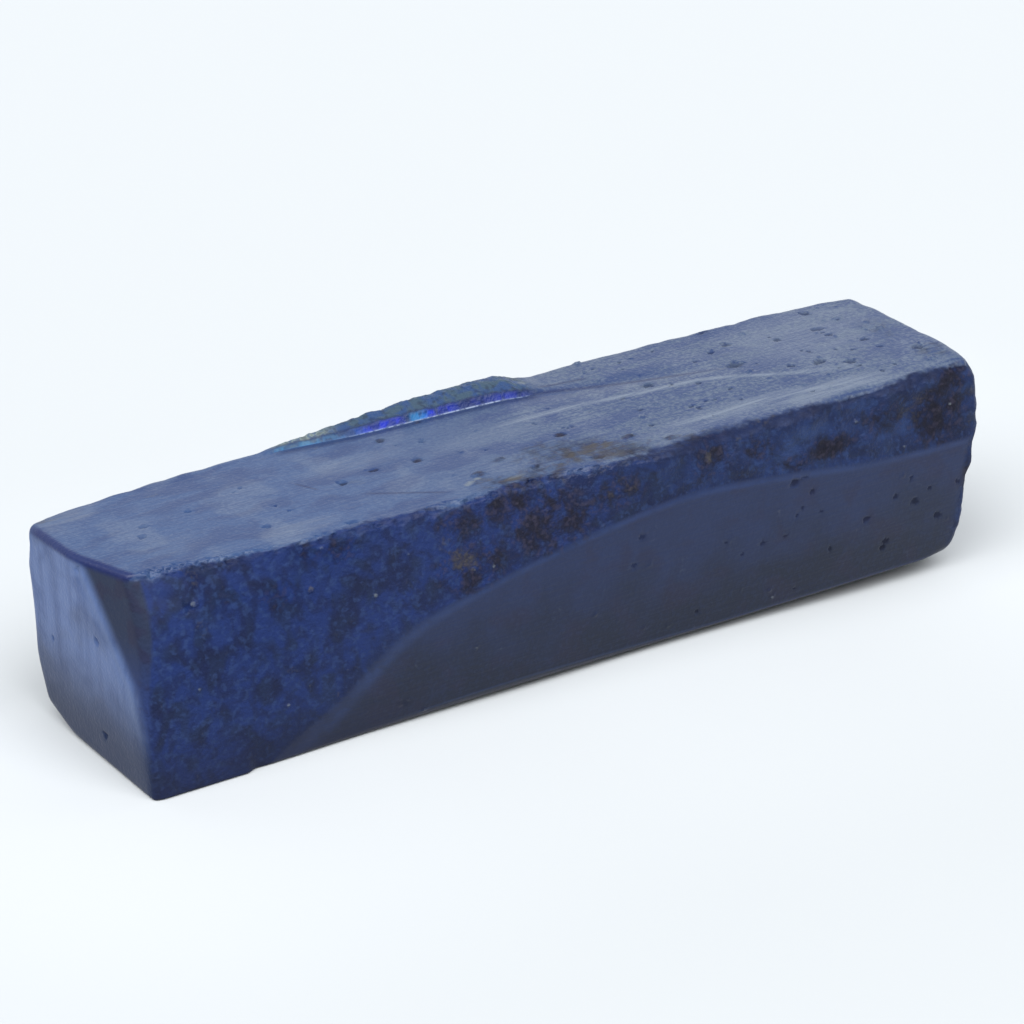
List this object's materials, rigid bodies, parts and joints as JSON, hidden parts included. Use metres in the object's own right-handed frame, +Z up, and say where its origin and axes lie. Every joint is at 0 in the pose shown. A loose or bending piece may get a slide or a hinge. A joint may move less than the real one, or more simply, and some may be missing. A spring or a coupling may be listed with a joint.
{
  "type": "rough sapphire",
  "caption": "Bar of rough opaque blue sapphire, sawn and partly ground flat, with natural skin along its front and a ledge along its back edge.",
  "frame": {"origin": "on the base, under the middle of the stone's box", "axes": "+X along the bar towards its broken end, +Y to the sawn back, +Z up"},
  "size_m": [0.0926, 0.0224, 0.0207],
  "materials": {
    "sapphire": "opaque deep blue corundum: satin where it was ground, glossier and mottled on the natural skin"
  },
  "bodies": {
    "root": {"sapphire_bar": "sapphire"}
  },
  "joints": []
}
